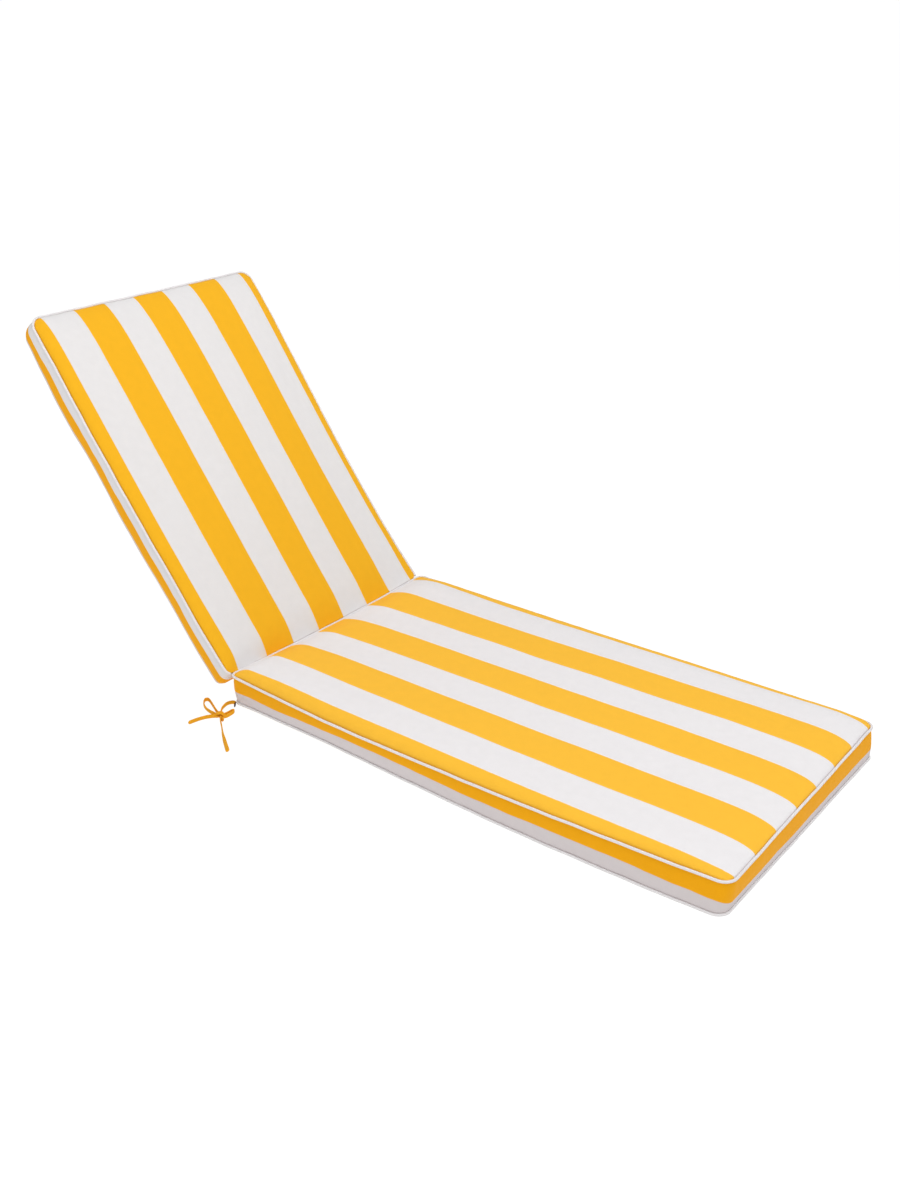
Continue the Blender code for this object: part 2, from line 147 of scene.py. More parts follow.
Section = namedtuple(
    "Section",
    "share near_dip far_dip dip near_bow far_bow near_splay far_splay lift near mid far",
)
BandRow = namedtuple("BandRow", "level out core")
Split = namedtuple("Split", "share depth")
Pad = namedtuple(
    "Pad",
    "name length direction depth fold_radius end_radius fold_tuck end_skew end_turn rests sections"
    " profile side_splits end_split near_draw far_draw",
)

# In millimetres, but for share, which is how far along from the fold the row lies.
# The near side is the tie's, the far side the other one.
# near_dip, far_dip: how far the side seams hang under the corners.
# dip: how far the whole pad bends away.
# near_bow, far_bow: how far the upper seam bows outwards.
# near_splay, far_splay: how much more the lower seam does so.
# lift: how far the lower seam stands up from its lowest level.
# near, mid, far: the crown's height over the upper seam, 0.2 m to each side and in the middle.
SEAT_SECTIONS = (
    Section(0.00, 0.0, 0.0, 0.0, 0.0, 0.0, -4.0, -1.0, 4.0, 15.5, 5.5, 14.5),
    Section(0.12, 4.5, 2.5, 0.0, 4.5, 4.5, -8.5, -1.0, 4.0, 22.0, 11.0, 13.5),
    Section(0.25, 8.5, 4.5, 0.0, 7.5, 7.5, -10.0, -1.0, 3.0, 21.5, 13.5, 13.5),
    Section(0.40, 8.5, 8.0, 0.0, 9.0, 9.5, -6.5, -1.0, 1.0, 21.0, 15.0, 17.0),
    Section(0.60, 7.2, 9.5, 0.0, 9.0, 9.5, 0.0, -1.0, 0.0, 19.5, 17.5, 21.5),
    Section(0.75, 3.3, 8.5, 0.0, 9.0, 9.0, 0.0, 0.0, 0.0, 18.0, 20.0, 22.5),
    Section(0.88, 1.5, 7.0, 0.0, 5.5, 5.5, 1.0, 2.0, 0.0, 19.0, 20.5, 24.0),
    Section(1.00, 0.0, 0.0, 0.0, 0.0, 0.5, 0.5, 2.5, 0.0, 18.0, 19.0, 22.5),
)
BACK_SECTIONS = (
    Section(0.00, 0.0, 0.0, 0.0, 4.0, -12.5, -7.0, -1.0, 1.0, 10.0, 7.0, -1.0),
    Section(0.10, 0.0, 0.0, 6.5, 3.3, -12.5, -7.0, -1.0, 1.0, 15.5, 12.0, 6.5),
    Section(0.25, 0.0, 0.0, 9.0, 1.4, -12.5, -7.5, -1.0, 1.0, 17.5, 18.5, 9.5),
    Section(0.45, 0.0, 0.0, 8.0, 2.3, -10.7, -4.9, -0.2, 1.0, 18.7, 21.7, 12.2),
    Section(0.64, 0.0, 0.0, 5.0, 2.9, -6.5, -7.0, 0.0, 2.0, 19.6, 23.5, 15.2),
    Section(0.76, 0.0, 0.0, 2.8, 2.8, -3.3, -2.0, 0.0, 3.2, 20.0, 24.0, 17.2),
    Section(0.90, 0.0, 0.0, 0.5, 0.5, -1.0, -1.7, 0.0, 7.5, 19.5, 20.0, 18.5),
    Section(1.00, 0.0, 0.0, 0.0, 0.0, 0.0, -4.5, 0.0, 11.0, 19.5, 16.5, 18.5),
)

# How far the side band and the filled core under it stand out, in millimetres, at each level
# from 0, the lower seam, to 1, the upper one.
SEAT_PROFILE = (
    BandRow(0.00, 0.0, 0.0),
    BandRow(0.12, 1.4, 1.4),
    BandRow(0.32, 2.6, 2.6),
    BandRow(0.56, 3.0, 3.0),
    BandRow(0.80, 2.0, 2.0),
    BandRow(1.00, 0.0, 0.0),
)
BACK_PROFILE = (
    BandRow(0.00, -5.5, -7.5),
    BandRow(0.11, 0.5, -1.0),
    BandRow(0.26, 3.5, 3.0),
    BandRow(0.50, 4.0, 4.0),
    BandRow(0.77, 2.8, 2.8),
    BandRow(1.00, 0.0, 0.0),
)

# Where the side band changes colour: millimetres under the upper piping, along the side
SEAT_SPLITS = (
    Split(0.00, 33.5),
    Split(0.06, 31.5),
    Split(0.13, 30.2),
    Split(0.20, 25.0),
    Split(0.33, 21.2),
    Split(0.42, 22.8),
    Split(0.51, 26.4),
    Split(0.60, 27.6),
    Split(0.76, 29.0),
    Split(0.83, 30.5),
    Split(0.91, 34.0),
    Split(1.00, 36.0),
)
BACK_SPLITS = (
    Split(0.00, 23.0),
    Split(0.50, 22.0),
    Split(1.00, 22.0),
)

SEAT = Pad(
    name="seat",
    length=SEAT_LENGTH,
    direction=1,
    depth=SEAM_HEIGHT - PIPING_RADIUS - FLOOR_GAP,
    fold_radius=0.015,
    end_radius=0.022,
    fold_tuck=0.003,
    end_skew=0.0045,
    end_turn=0.0,
    rests=True,
    sections=SEAT_SECTIONS,
    profile=SEAT_PROFILE,
    side_splits=SEAT_SPLITS,
    end_split=0.044,
    near_draw=0.0045,
    far_draw=0.0,
)
BACK = Pad(
    name="back",
    length=BACK_LENGTH,
    direction=-1,
    depth=0.059,
    fold_radius=0.014,
    end_radius=0.024,
    fold_tuck=-0.007,
    end_skew=0.0,
    end_turn=0.002,
    rests=False,
    sections=BACK_SECTIONS,
    profile=BACK_PROFILE,
    side_splits=BACK_SPLITS,
    end_split=0.022,
    near_draw=-0.0032,
    far_draw=0.0035,
)

# The tape's routes on the floor: x, y and how far the tape is laid over,
# from 0 on its edge to 1 flat.
STRAP_ROUTE = (
    (-0.5266, -0.2928, 0.0),
    (-0.5315, -0.2950, 0.0),
    (-0.5360, -0.3000, 0.0),
    (-0.5374, -0.3075, 0.0),
    (-0.5346, -0.3189, 0.0),
    (-0.5292, -0.3294, 0.0),
    (-0.5165, -0.3450, 0.0),
)
OPEN_LOOP_ROUTE = (
    (-0.5160, -0.3455, 0.0),
    (-0.5323, -0.3397, 0.0),
    (-0.5498, -0.3308, 0.0),
    (-0.5681, -0.3215, 0.0),
    (-0.5780, -0.3180, 0.0),
    (-0.5820, -0.3222, 0.0),
    (-0.5775, -0.3300, 0.0),
    (-0.5690, -0.3381, 0.0),
    (-0.5567, -0.3447, 0.0),
    (-0.5422, -0.3485, 0.0),
    (-0.5160, -0.3500, 0.0),
)
FOLDED_LOOP_ROUTE = (
    (-0.5110, -0.3500, 0.0),
    (-0.5045, -0.3422, 0.0),
    (-0.5037, -0.3307, 0.0),
    (-0.5048, -0.3215, 0.0),
    (-0.5072, -0.3180, 0.0),
    (-0.5096, -0.3205, 0.0),
    (-0.5098, -0.3300, 0.0),
    (-0.5110, -0.3400, 0.0),
    (-0.5140, -0.3475, 0.0),
)
SIDE_TAIL_ROUTE = (
    (-0.5150, -0.3495, 0.0),
    (-0.5245, -0.3575, 0.0),
    (-0.5318, -0.3679, 0.0),
    (-0.5372, -0.3808, 0.0),
    (-0.5404, -0.3935, 0.0),
    (-0.5423, -0.4042, 0.0),
)
FRONT_TAIL_ROUTE = (
    (-0.5120, -0.3500, 0.0),
    (-0.4993, -0.3614, 0.0),
    (-0.4832, -0.3741, 0.0),
    (-0.4616, -0.3924, 0.2),
    (-0.4366, -0.4108, 0.5),
    (-0.4116, -0.4284, 0.7),
)
KNOT_END_ROUTE = (
    (-0.5120, -0.3500, 0.0),
    (-0.5040, -0.3545, 0.1),
    (-0.4965, -0.3560, 0.3),
)
ROOT_ROUTE = (
    (-0.5262, -0.2945, 0.0),
    (-0.5232, -0.2990, 0.0),
    (-0.5190, -0.3050, 0.0),
)

# Camera
CAMERA_PLACE = Vector((1.1333, -1.8430, 1.2974))
CAMERA_AZIMUTH = math.radians(36.38)
CAMERA_ELEVATION = math.radians(25.44)
CAMERA_ROLL = math.radians(0.96)
CAMERA_LENS = 39.255
CAMERA_SENSOR = 36.0


def colour_setting(name, description, default):
    """Declares a colour."""
    return FloatVectorProperty(
        name=name,
        description=description,
        subtype="COLOR",
        size=4,
        min=0.0,
        max=1.0,
        default=(*default, 1.0),
    )


def length_setting(name, description, default, least, most):
    """Declares a length, in metres."""
    return FloatProperty(
        name=name,
        description=description,
        unit="LENGTH",
        min=least,
        max=most,
        default=default,
    )


class ClothSettings(PropertyGroup):
    """The striped canvas and how it lies."""

    # The seat's colours are the cloth under full light. The back's and the side bands' colours are
    # darker, deeper copies of the same cloth: painted shade for the light those faces get
    seat_yellow: colour_setting(
        "Seat Yellow", "Colour of the seat's yellow stripes", (0.98, 0.53, 0.042)
    )
    shaded_back_yellow: colour_setting(
        "Back Yellow", "Colour of the back's yellow stripes", (0.90, 0.455, 0.014)
    )
    white: colour_setting("White", "Colour of the seat's white stripes", (0.84, 0.82, 0.83))
    shaded_band_yellow: colour_setting(
        "Band Yellow", "Colour of the yellow part of the side bands", (0.92, 0.405, 0.003)
    )
    shaded_band_white: colour_setting(
        "Band White", "Colour of the white part of the seat's side band", (0.675, 0.62, 0.62)
    )
    shaded_back_white: colour_setting(
        "Back White", "Colour of the back's white stripes and band", (0.775, 0.757, 0.757)
    )
    seat_stripe: length_setting(
        "Seat Repeat", "Width of one yellow and one white stripe on the seat", 0.160, 0.02, 0.6
    )
    back_stripe: length_setting(
        "Back Repeat", "Width of one yellow and one white stripe on the back", 0.155, 0.02, 0.6
    )
    panel_step: length_setting(
        "Panel Step", "Largest size of a panel's mesh faces", 0.0075, 0.003, 0.05
    )
    pucker: length_setting(
        "Pucker Height", "Height of the small gathers beside the seams", 0.0006, 0.0, 0.005
    )
    billow: length_setting(
        "Billow Height", "Height of the filling's soft unevenness", 0.0012, 0.0, 0.01
    )


class PipingSettings(PropertyGroup):
    """The cloth-covered cord in the seams."""

    radius: length_setting("Radius", "Radius of the covered cord", CORD_RADIUS, 0.001, 0.01)
    crease: length_setting(
        "Crease Depth", "Depth of the slanting creases in the cord's cover", 0.00004, 0.0, 0.001
    )
    colour: colour_setting("Colour", "Colour of the piping", (0.80, 0.775, 0.78))


class TieSettings(PropertyGroup):
    """The tape tie."""

    width: length_setting("Tape Width", "Width of the folded tape", TAPE_WIDTH, 0.002, 0.03)
    thickness: length_setting(
        "Tape Thickness", "Thickness of the folded tape", TAPE_THICKNESS, 0.0005, 0.005
    )
    colour: colour_setting("Colour", "Colour of the tape", (0.82, 0.37, 0.015))
    # Painted shadow: the short tape end under the seat's corner is the same tape, coloured near black
    # for the shade it lies in
    root_shadow_colour: colour_setting(
        "Root Shadow Colour", "Colour of the tape's dark end at the seam", (0.07, 0.02, 0.015)
    )


class StageSettings(PropertyGroup):
    """The floor and the studio light."""

    floor_size: length_setting("Floor Size", "Width of the floor", 800.0, 5.0, 1000.0)
    floor_glow: FloatProperty(
        name="Floor Glow",
        description="How much light the floor gives off",
        min=0.0,
        max=2.0,
        default=0.96,
    )
    sky: FloatProperty(
        name="Sky Light",
        description="Strength of the even light from all round",
        min=0.0,
        max=2.0,
        default=0.44,
    )
    key_power: FloatProperty(
        name="Key Power",
        description="Power of the large soft light overhead",
        unit="POWER",
        min=0.0,
        default=56.0,
    )
    fill_power: FloatProperty(
        name="Fill Power",
        description="Power of the soft light at the foot, of which the side light gives 0.6",
        unit="POWER",
        min=0.0,
        default=20.0,
    )


def link(item):
    """Puts an object in the scene."""
    bpy.context.scene.collection.objects.link(item)
    return item


def hermite(rows, place):
    """Returns the values at a place, on a smooth curve through a table's rows."""
    index = 0
    while index < len(rows) - 2 and place > rows[index + 1][0]:
        index += 1
    below = rows[index]
    above = rows[index + 1]
    before = rows[max(index - 1, 0)]
    after = rows[min(index + 2, len(rows) - 1)]
    gap = above[0] - below[0]
    t = min(max((place - below[0]) / gap, 0.0), 1.0)
    values = []
    for early, low, high, late in zip(before, below, above, after):
        leave = (high - early) / (above[0] - before[0]) * gap
        reach = (late - low) / (after[0] - below[0]) * gap
        rise = high - low
        cubic = leave + reach - 2.0 * rise
        square = 3.0 * rise - 2.0 * leave - reach
        values.append(low + t * (leave + t * (square + t * cubic)))
    return values


def fine_sections(pad):
    """Returns the pad's section values in metres at many even places."""
    places = [step / SECTION_STEPS for step in range(SECTION_STEPS + 1)]
    return [Section(*(0.001 * v for v in hermite(pad.sections, place))) for place in places]


FINE_SECTIONS = {pad.name: fine_sections(pad) for pad in (SEAT, BACK)}


def section_at(pad, along):
    """Returns the pad's section values in metres at a distance from the fold."""
    place = min(max(along / pad.length, 0.0), 1.0) * SECTION_STEPS
    index = min(int(place), SECTION_STEPS - 1)
    share = place - index
    rows = FINE_SECTIONS[pad.name]
    return Section(*(a + (b - a) * share for a, b in zip(rows[index], rows[index + 1])))


def top_seam(pad, along, across):
    """Returns the height of the upper seam's plane under or over the fold axis."""
    section = section_at(pad, along)
    reach = min(abs(across) / (WIDTH / 2), 1.0)
    side_dip = section.near_dip if across < 0.0 else section.far_dip
    return -section.dip - side_dip * reach ** 2 - fold_sag(pad, along, across)[1]


def fold_sag(pad, along, across):
    """Returns how far the shared seam sinks between the corners, as parts along and down."""
    fade = (1.0 - min(max(along / FOLD_SAG_REACH, 0.0), 1.0)) ** 2
    sag = FOLD_SAG * fade * (1.0 - min(abs(across) / (WIDTH / 2), 1.0) ** 2)
    if pad.direction > 0:
        return 0.0, sag
    return -sag * math.sin(BACK_ANGLE), sag * math.cos(BACK_ANGLE)


def seam_wave(pad, along, across, seed):
    """Returns the slight waviness of the sewn seams."""
    place = Vector((along / SEAM_WAVE_PITCH, across / SEAM_WAVE_PITCH, seed + pad.direction))
    return SEAM_WAVE * noise.noise(place)


def lower_seam(pad, along):
    """Returns the height of the lower seam's plane."""
    section = section_at(pad, along)
    return -pad.depth - section.dip + section.lift


def rounded(pad, along, across, inset):
    """Moves a point of the pad's rectangle so that its corners become arcs.

    Returns the point and the direction that leads out of the pad there.
    """
    half = WIDTH / 2 - inset
    side = math.copysign(1.0, across)
    fold_radius = pad.fold_radius - inset
    end_radius = pad.end_radius - inset
    if along < inset + fold_radius:
        centre_along = inset + fold_radius
        radius = fold_radius
    elif along > pad.length - inset - end_radius:
        centre_along = pad.length - inset - end_radius
        radius = end_radius
    else:
        return along, across, (0.0, side)
    centre_across = half - radius
    step_along = (along - centre_along) / radius
    step_across = (abs(across) - centre_across) / radius
    if step_across <= 0.0:
        return along, across, (math.copysign(1.0, step_along), 0.0)
    reach = math.hypot(step_along, step_across)
    shrink = max(abs(step_along), step_across) / reach
    new_along = centre_along + step_along * radius * shrink
    new_across = side * (centre_across + step_across * radius * shrink)
    return new_along, new_across, (step_along / reach, side * step_across / reach)


def plan_point(pad, along, across, inset, level, push):
    """Returns a point in plan at a level from 0, the lower seam, to 1, the upper one."""
    along, across, outward = rounded(pad, along, across, inset)
    section = section_at(pad, along)
    if across < 0.0:
        bow = section.near_bow + section.near_splay * (1.0 - level)
    else:
        bow = section.far_bow + section.far_splay * (1.0 - level)
    share = along / pad.length
    skew = pad.end_skew * share * across / (WIDTH / 2)
    turn = pad.end_turn * share * across / (WIDTH / 2)
    sunk = fold_sag(pad, along, across)[0]
    along += (pad.fold_tuck * (1.0 - share) + skew) * (1.0 - level) + turn + sunk * level
    across *= 1.0 + bow / (WIDTH / 2)
    push += seam_wave(pad, along, across, 3.0 + 2.0 * round(level))
    return along + outward[0] * push, across + outward[1] * push


def free_rise(distance, reach):
    """Returns the share of the crown at a distance inside a free edge: steep, then level."""
    return math.sqrt(1.0 - (1.0 - min(distance / reach, 1.0)) ** 3)


def soft_rise(distance, reach):
    """Returns the share of the crown at a distance inside the fold: a gentle slope."""
    return 1.0 - (1.0 - min(distance / reach, 1.0)) ** 2


def crown(pad, along, across):
    """Returns how far the upper panel stands over its seam."""
    section = section_at(pad, along)
    column = min(max(across / CROWN_COLUMN, -CROWN_COLUMN_LIMIT), CROWN_COLUMN_LIMIT)
    height = 0.5 * column * (column - 1.0) * section.near
    height += (1.0 - column ** 2) * section.mid
    height += 0.5 * column * (column + 1.0) * section.far
    far_share = 0.5 + across / WIDTH
    fold_reach = FOLD_CROWN_NEAR_REACH
    fold_reach += (FOLD_CROWN_FAR_REACH - FOLD_CROWN_NEAR_REACH) * far_share
    ends = soft_rise(max(along - RIM_INSET, 0.0), fold_reach)
    ends *= free_rise(max(pad.length - RIM_INSET - along, 0.0), END_CROWN_REACH)
    from_side = max(WIDTH / 2 - RIM_INSET - abs(across), 0.0)
    return height * ends * free_rise(from_side, NEAR_CROWN_REACH if across < 0.0 else FAR_CROWN_REACH)


def underside(pad, along, across):
    """Returns how far the lower panel stands out under its seam."""
    from_edge = min(along, pad.length - along, WIDTH / 2 - abs(across)) - RIM_INSET
    if pad.rests:
        drop = SEAM_HEIGHT + lower_seam(pad, along)
        return drop * soft_rise(max(from_edge, 0.0), UNDERSIDE_REACH)
    return REAR_CROWN_SHARE * crown(pad, along, across)


def pad_matrix(pad):
    """Returns the pad's own frame: its origin on the fold's axis, level with the upper seam."""
    fold = Matrix.Translation((-SEAT_LENGTH / 2, 0.0, SEAM_HEIGHT))
    if pad.direction > 0:
        return fold
    return fold @ Matrix.Rotation(BACK_ANGLE, 4, "Y")


def graded(size, inset, coarse):
    """Returns places across a size: close together by its two edges, wider apart inside."""
    places = [inset]
    gap = PANEL_FINE_STEP
    while places[-1] + gap < size / 2:
        places.append(places[-1] + gap)
        gap = min(gap * PANEL_GROWTH, coarse)
    return places + [size - place for place in reversed(places)]


def ripple(place, pitch, seed):
    """Returns an uneven wave of about one over a length, with a rough pitch."""
    return noise.noise(Vector((place / pitch, seed, 0.37 * seed)))


def panel_relief(pad, along, across, settings, seed):
    """Returns the small unevenness of a panel: the filling's billows and the seams' gathers."""
    from_side = WIDTH / 2 - abs(across)
    from_end = min(along, pad.length - along)
    inner = min(from_side, from_end) - RIM_INSET
    settle = min(max(inner / BILLOW_REACH, 0.0), 1.0)
    settle *= settle * (3.0 - 2.0 * settle)
    broad, small = (
        noise.noise(Vector((along / pitch.x, across / pitch.y, turn)))
        for pitch, turn in ((BILLOW_PITCH, seed), (SMALL_BILLOW_PITCH, seed + 4.0))
    )
    height = settings.billow * settle * (broad + 0.35 * small)
    side_gather = ripple(along, GATHER_PITCH, seed + math.copysign(1.3, across))
    side_gather += 0.5 * ripple(along, FINE_GATHER_PITCH, seed + math.copysign(2.3, across))
    end_gather = ripple(across, GATHER_PITCH, seed + math.copysign(3.7, along - pad.length / 2))
    gathers = side_gather * gather_share(from_side) + end_gather * gather_share(from_end)
    return height + settings.pucker * 2.0 * gathers


def gather_share(distance):
    """Returns how strong the gathers are at a distance inside a seam."""
    start = min(max((distance - RIM_INSET) / GATHER_START, 0.0), 1.0)
    return start * math.exp(-distance / GATHER_REACH)


def drawn(pad, along, across):
    """Returns how far the outermost stripes are drawn in over the sides."""
    t = min(max((abs(across) - DRAW_START) / (DRAW_FULL - DRAW_START), 0.0), 1.0)
    ease = t * t * (3.0 - 2.0 * t)
    if across >= 0.0:
        return pad.far_draw * ease
    reach = 1.0
    if pad.rests:
        reach += 1.8 * math.exp(-(pad.length - along) / 0.025) - 0.75 * along / pad.length
    return -pad.near_draw * ease * reach


def pad_mesh(pad, settings):
    """Builds the filled pad as one closed mesh: two panels and the core's sides."""
    along_places = graded(pad.length, RIM_INSET, settings.panel_step)
    across_places = [y - WIDTH / 2 for y in graded(WIDTH, RIM_INSET, settings.panel_step)]
    count_along, count_across = len(along_places), len(across_places)
    points = []
    cloth = []
    seam = []

    def add(x, y, height, inside=0.0):
        points.append((pad.direction * x, y, height))
        cloth.append((x, y + drawn(pad, x, y)))
        seam.append((inside, 0.0))
        return len(points) - 1

    top_level = pad.profile[-1]
    low_core = 0.001 * pad.profile[0].core
    low_shrink = [1.0 + low_core / (size / 2 - RIM_INSET) for size in (pad.length, WIDTH)]
    top = []
    low = []
    for i, along in enumerate(along_places):
        top_row = []
        low_row = []
        for j, across in enumerate(across_places):
            rim = i in (0, count_along - 1) or j in (0, count_across - 1)
            inside = min(along, pad.length - along, WIDTH / 2 - abs(across))
            x, y = plan_point(pad, along, across, RIM_INSET, 1.0, 0.001 * top_level.core)
            height = top_seam(pad, along, across) + RIM_RISE
            if not rim:
                height += crown(pad, along, across)
                height += panel_relief(pad, along, across, settings, 1.0 + pad.direction)
            top_row.append(add(x, y, height, inside))
            low_along = pad.length / 2 + (along - pad.length / 2) * low_shrink[0]
            low_across = across * low_shrink[1]
            x, y = plan_point(pad, low_along, low_across, RIM_INSET, 0.0, 0.0)
            height = lower_seam(pad, along) - RIM_RISE
            if not rim:
                height = lower_seam(pad, along) - underside(pad, along, across)
                if not pad.rests:
                    height -= panel_relief(pad, along, across, settings, 9.0)
            low_row.append(add(x, y, height, inside))
        top.append(top_row)
        low.append(low_row)
    faces = []
    for i in range(count_along - 1):
        for j in range(count_across - 1):
            faces.append((top[i][j], top[i + 1][j], top[i + 1][j + 1], top[i][j + 1]))
            faces.append((low[i][j + 1], low[i + 1][j + 1], low[i + 1][j], low[i][j]))
    border = [(i, 0) for i in range(count_along - 1)]
    border += [(count_along - 1, j) for j in range(count_across - 1)]
    border += [(i, count_across - 1) for i in range(count_along - 1, 0, -1)]
    border += [(0, j) for j in range(count_across - 1, 0, -1)]
    rings = [[top[i][j] for i, j in border]]
    for row in reversed(pad.profile):
        ring = []
        for i, j in border:
            along, across = along_places[i], across_places[j]
            along = min(max(along, CORE_INSET), pad.length - CORE_INSET)
            across = min(max(across, CORE_INSET - WIDTH / 2), WIDTH / 2 - CORE_INSET)
            x, y = plan_point(pad, along, across, CORE_INSET, row.level, 0.001 * row.core)
            base = lower_seam(pad, along) + CORE_DROP
            roof = top_seam(pad, along, across) - CORE_DROP
            ring.append(add(x, y, base + (roof - base) * row.level))
        rings.append(ring)
    rings.append([low[i][j] for i, j in border])
    for upper, lower in zip(rings, rings[1:]):
        for k in range(len(border)):
            after = (k + 1) % len(border)
            faces.append((upper[k], lower[k], lower[after], upper[after]))
    if pad.direction < 0:
        faces = [tuple(reversed(face)) for face in faces]
    return cloth_mesh(pad.name + "_pad", points, faces, {"cloth": cloth, "seam": seam})


def cloth_mesh(name, points, faces, maps):
    """Makes a smooth mesh with one UV map, in metres, for each list of places."""
    mesh = bpy.data.meshes.new(name)
    mesh.from_pydata(points, [], faces)
    for map_name, places in maps.items():
        layer = mesh.uv_layers.new(name=map_name)
        for loop in mesh.loops:
            layer.data[loop.index].uv = places[loop.vertex_index]
    mesh.shade_smooth()
    mesh.update()
    return mesh


def border_loop(pad, inset, step):
    """Returns the pad's rectangle in even steps: near side, end, far side, fold."""
    length = pad.length - 2.0 * inset
    width = WIDTH - 2.0 * inset
    along_count = round(length / step)
    across_count = round(width / step)
    along = [inset + length * k / along_count for k in range(along_count)]
    across = [inset - WIDTH / 2 + width * k / across_count for k in range(across_count)]
    loop = [(place, across[0]) for place in along]
    loop += [(pad.length - inset, place) for place in across]
    loop += [(pad.length - place, WIDTH / 2 - inset) for place in along]
    loop += [(inset, -place) for place in across]
    return loop


def band_out(pad, level):
    """Returns how far the band stands out at a level, in metres."""
    return 0.001 * hermite(pad.profile, level)[1]


def band_split(pad, along, outward):
    """Returns how far under the upper piping the band changes colour."""
    side = 0.001 * hermite(pad.side_splits, along / pad.length)[1]
    turn = outward[0] ** 2 if along > pad.length / 2 else 0.0
    return side + (pad.end_split - side) * turn


def band_relief(pad, run, level, settings):
    """Returns how far the band's gathers and soft waves stand out."""
    seed = 5.0 + pad.direction
    by_upper = math.exp(-(1.0 - level) / 0.16)
    by_lower = math.exp(-level / 0.16)
    upper = ripple(run, 0.018, seed) + 0.5 * ripple(run, 0.008, seed + 1.0)
    lower = ripple(run, 0.020, seed + 2.0) + 0.5 * ripple(run, 0.009, seed + 3.0)
    held = min(level, 1.0 - level)
    free = min(held / 0.08, 1.0)
    wave = ripple(run, 0.055, seed + 5.0 + 0.8 * level) + 0.6 * ripple(run, 0.016, seed + 7.0 + level)
    wave *= math.sin(math.pi * level)
    return free * (settings.pucker * 1.8 * (upper * by_upper + lower * by_lower)
                   + settings.billow * 0.8 * wave)


def band_mesh(pad, settings):
    """Lofts the side band round the pad, between its two seams."""
    loop = border_loop(pad, BAND_INSET, BAND_STEP)
    runs = [0.0]
    for before, after in zip(loop, loop[1:]):
        runs.append(runs[-1] + math.dist(before, after))
    points = []
    cloth = []
    stripe = []
    seam = []
    for row in range(BAND_ROWS + 1):
        level = row / BAND_ROWS
        for run, (along, across) in zip(runs, loop):
            low = lower_seam(pad, along) + BAND_DROP
            roof = top_seam(pad, along, across) - BAND_DROP
            outward = rounded(pad, along, across, BAND_INSET)[2]
            push = band_out(pad, level) + band_relief(pad, run, level, settings)
            x, y = plan_point(pad, along, across, BAND_INSET, level, push)
            depth = BAND_DROP + (roof - low) * (1.0 - level)
            points.append((pad.direction * x, y, low + (roof - low) * level))
            cloth.append((run, depth))
            split = band_split(pad, along, outward)
            split += SPLIT_WAVE * ripple(run, 0.05, 8.0 + pad.direction)
            stripe.append((run, depth - split))
            seam.append((BAND_DROP + (roof - low) * min(level, 1.0 - level), 0.0))
    count = len(loop)
    faces = []
    for row in range(BAND_ROWS):
        for k in range(count):
            after = (k + 1) % count
            base = row * count
            faces.append((base + k, base + after, base + count + after, base + count + k))
    if pad.direction < 0:
        faces = [tuple(reversed(face)) for face in faces]
    maps = {"cloth": cloth, "stripe": stripe, "seam": seam}
    return cloth_mesh(pad.name + "_band", points, faces, maps)


def seam_points(pad, upper, step):
    """Returns the points of one whole seam, in the pad's frame."""
    level = 1.0 if upper else 0.0
    push = band_out(pad, level)
    points = []
    for along, across in border_loop(pad, 0.0, step):
        height = top_seam(pad, along, across) if upper else lower_seam(pad, along)
        x, y = plan_point(pad, along, across, 0.0, level, push)
        points.append(Vector((pad.direction * x, y, height)))
    return points


def sweep(name, places, closed, section, frame_up=None):
    """Sweeps a cross-section along places.

    The section gives, for a run in metres, its points as pairs across and up.
    """
    count = len(places)
    runs = [0.0]
    for before, after in zip(places, places[1:]):
        runs.append(runs[-1] + (after - before).length)
    points = []
    cloth = []
    for k, place in enumerate(places):
        if closed:
            run = places[(k + 1) % count] - places[k - 1]
        else:
            run = places[min(k + 1, count - 1)] - places[max(k - 1, 0)]
        run.normalize()
        up_hint = frame_up(k) if frame_up else Vector((0.0, 0.0, 1.0))
        side = run.cross(up_hint).normalized()
        up = side.cross(run)
        ring = section(runs[k], runs[-1])
        around = 0.0
        for step, (across, rise) in enumerate(ring):
            points.append(tuple(place + side * across + up * rise))
            cloth.append((runs[k], around))
            later = ring[(step + 1) % len(ring)]
            around += math.hypot(later[0] - across, later[1] - rise)
    sides = len(ring)
    faces = []
    for k in range(count if closed else count - 1):
        near = k * sides
        far = ((k + 1) % count) * sides
        for step in range(sides):
            after = (step + 1) % sides
            faces.append((near + step, near + after, far + after, far + step))
    if not closed:
        faces.append(tuple(reversed(range(sides))))
        faces.append(tuple(range((count - 1) * sides, count * sides)))
    return cloth_mesh(name, points, faces, {"cloth": cloth})


def piping_section(settings, seed):
    """Returns a function that gives the covered cord's uneven round section."""

    def section(run, _length):
        ring = []
        for step in range(PIPING_SIDES):
            angle = 2.0 * math.pi * step / PIPING_SIDES
            slant = math.sin(2.0 * math.pi * run / 0.0075 + angle + 3.0 * ripple(run, 0.03, seed))
            swell = 0.6 * ripple(run, 0.014, seed + 1.0)
            radius = settings.radius + settings.crease * (slant + swell)
            ring.append((radius * math.cos(angle), radius * math.sin(angle)))
        return ring

    return section


def back_front_places(settings):
    """Returns the back's front seam, open at the fold, where the seat's piping takes over."""
    reach = 1.85 * settings.radius
    turn = Matrix.Rotation(BACK_ANGLE, 3, "Y")
    shared = [p for p in seam_points(SEAT, True, PIPING_STEP) if p.x < 0.05]
    points = []
    for point in seam_points(BACK, True, PIPING_STEP):
        turned = turn @ point
        if point.x < -0.05 or min((turned - other).length for other in shared) > reach:
            points.append(point)
    start = max(range(len(points)), key=lambda i: (points[i] - points[i - 1]).length)
    return points[start:] + points[:start]


